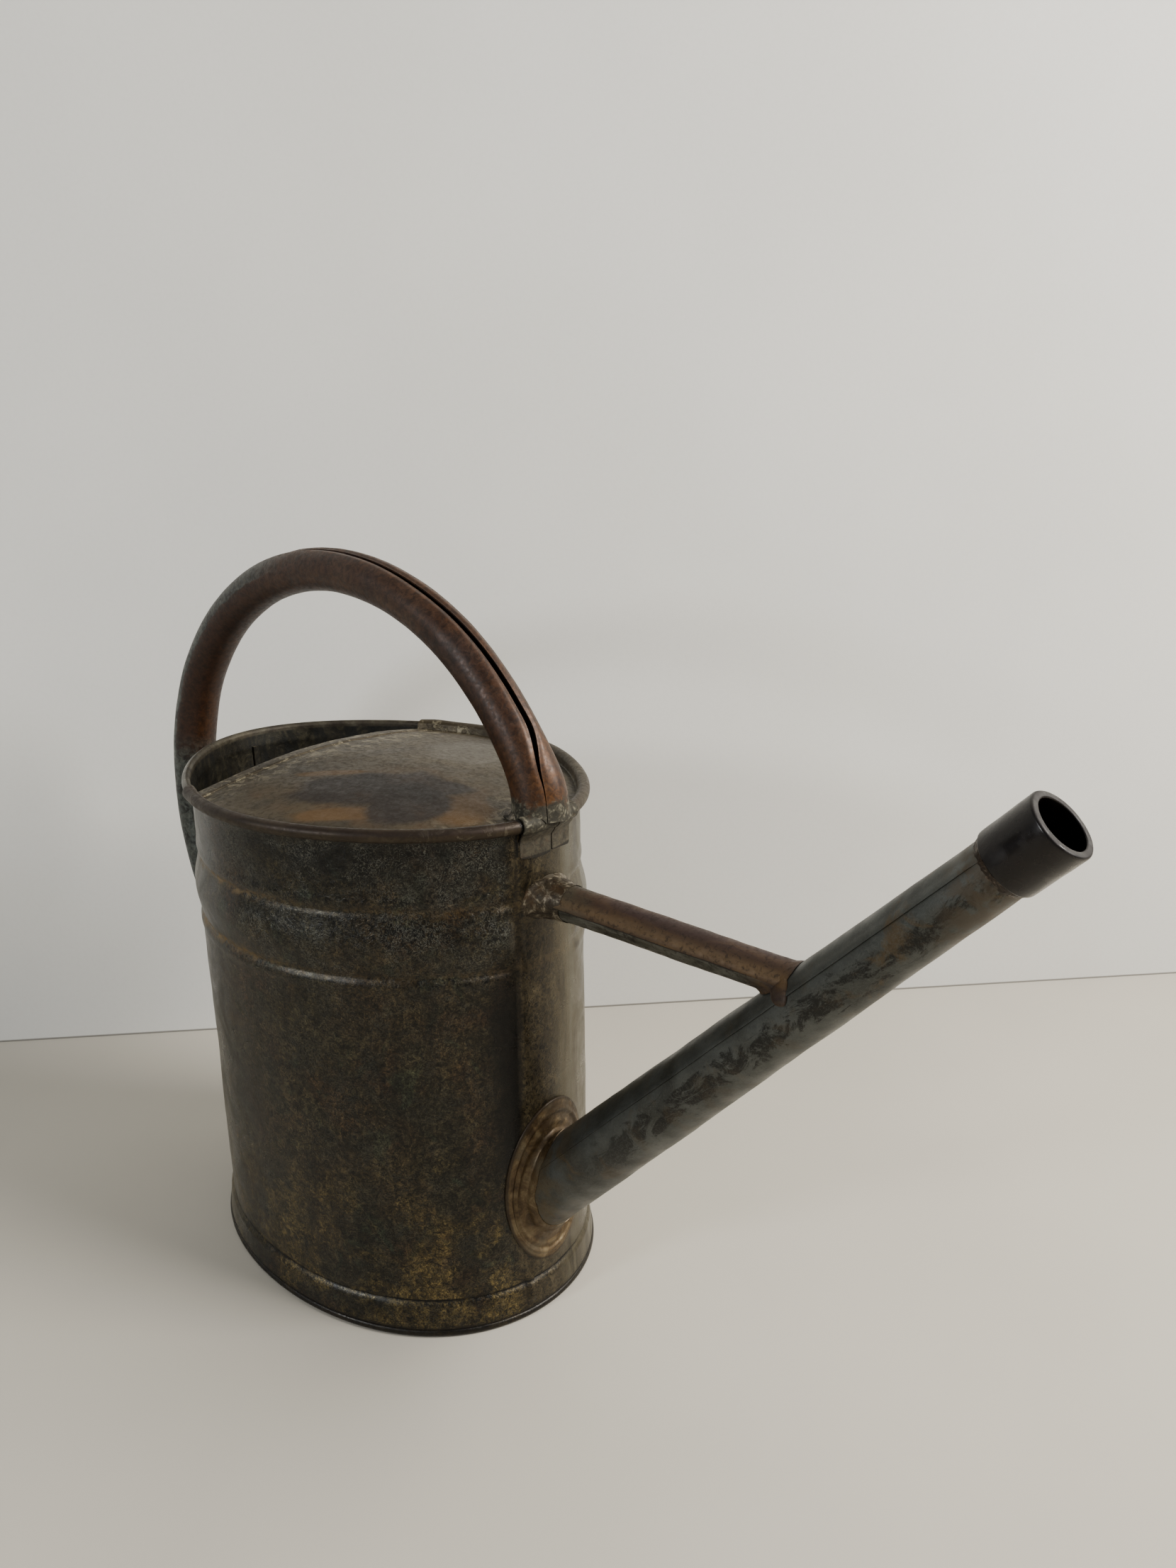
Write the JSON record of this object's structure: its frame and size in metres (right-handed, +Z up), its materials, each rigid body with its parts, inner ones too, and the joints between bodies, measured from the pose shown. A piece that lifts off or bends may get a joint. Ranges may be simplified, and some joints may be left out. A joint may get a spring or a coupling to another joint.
{
  "type": "watering can",
  "caption": "Oval sheet-steel watering can with a half cover over the tank, a rolled hoop handle from rim to rear wall, and a tapered spout held by a level brace.",
  "frame": {"origin": "centre of the whole can's box in plan, on the plane that the foot stands on", "axes": "+Z up, +X towards the spout's mouth, +Y to the can's left seen along +X"},
  "size_m": [0.615, 0.2176, 0.423],
  "materials": {
    "aged_zinc": "aged hot-dip zinc, dark olive grey with fine crystal mottling and brown stains",
    "deck_zinc": "beige-olive weathered zinc with a dark purple-brown rust patch",
    "spout_zinc": "blue-grey zinc with black blotches and ochre stains",
    "collar_zinc": "ochre-brown flux-stained zinc",
    "rusted_steel": "smooth chocolate rust with a purple sheen and orange-brown ends",
    "dark_steel": "dark brown, semi-gloss patina",
    "wire_steel": "plain drawn wire, hidden in the curled edges",
    "solder": "dull lumpy grey solder"
  },
  "bodies": {
    "root": {"wall_near": "aged_zinc", "wall_far": "aged_zinc", "front_seam": "aged_zinc", "rear_seam": "aged_zinc", "rim_wire": "wire_steel", "foot_wire": "wire_steel", "base_plate": "aged_zinc", "base_solder": "solder", "deck": "deck_zinc", "handle": "rusted_steel", "handle_front_solder": "solder", "handle_rear_solder": "solder", "spout_collar": "collar_zinc", "spout": "spout_zinc", "spout_solder": "collar_zinc", "ferrule": "dark_steel", "ferrule_solder": "solder", "brace": "rusted_steel", "brace_foot_solder": "solder", "brace_tip_solder": "rusted_steel"}
  },
  "joints": []
}
